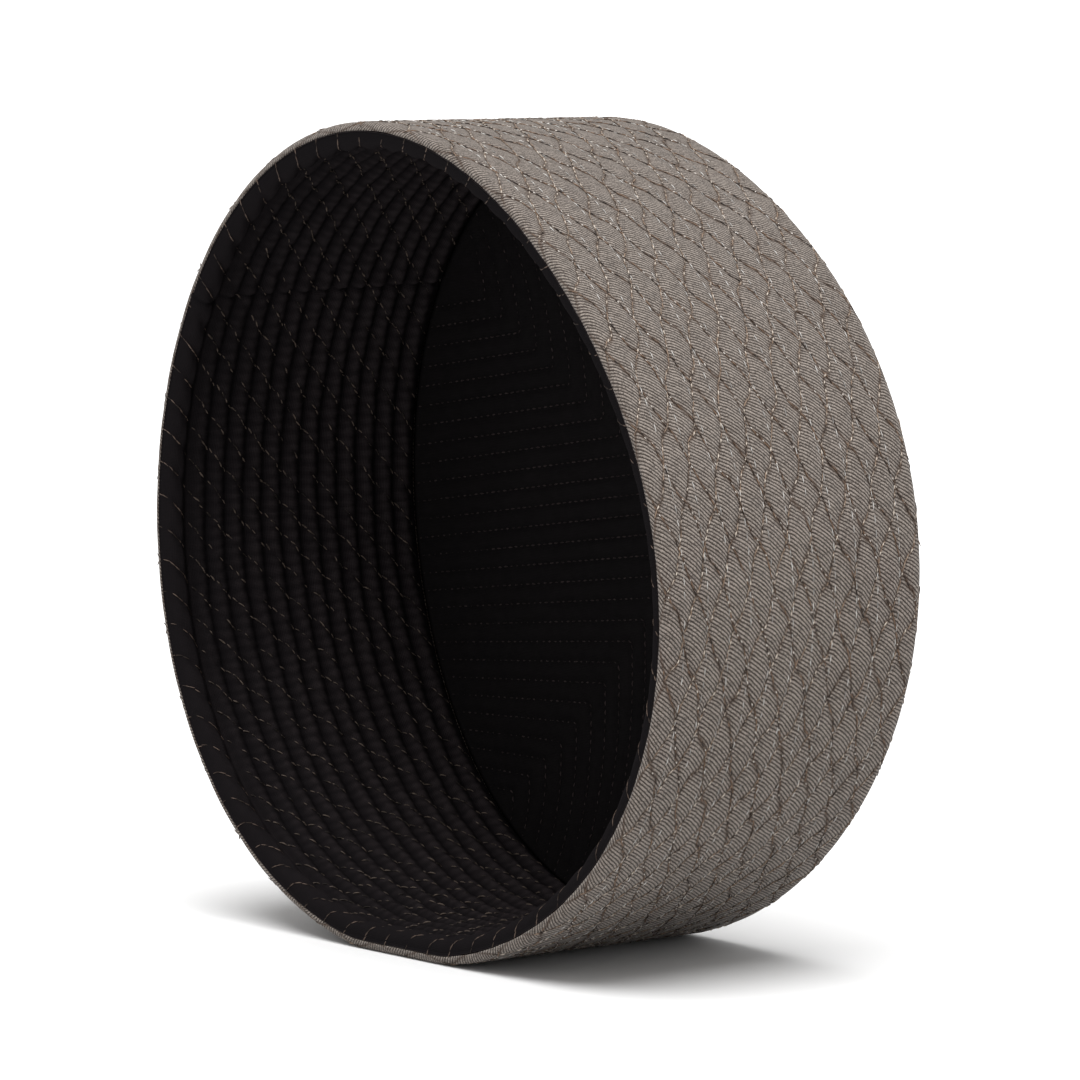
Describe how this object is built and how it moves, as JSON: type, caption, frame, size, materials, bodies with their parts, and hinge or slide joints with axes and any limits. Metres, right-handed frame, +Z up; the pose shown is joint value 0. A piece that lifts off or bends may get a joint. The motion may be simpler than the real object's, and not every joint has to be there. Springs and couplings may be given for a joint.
{
  "type": "prayer cap",
  "caption": "Round quilted prayer cap with a low straight wall and a nearly flat crown, twill cloth outside and a dark corded lining, lying on its side wall.",
  "frame": {"origin": "on the surface the cap lies on, below the middle of the cap", "axes": "+Y along the cap's axis from the mouth to the crown, +Z up, +X across the mouth"},
  "size_m": [0.189, 0.077, 0.1824],
  "materials": {
    "outer_twill": "matt fine twill, taupe",
    "lining_cloth": "matt plain weave, black",
    "quilting_thread": "fine brown thread with pale flecks"
  },
  "bodies": {
    "root": {"wall_shell": "outer_twill", "wall_lining": "lining_cloth", "crown_shell": "outer_twill", "crown_lining": "lining_cloth"}
  },
  "joints": []
}
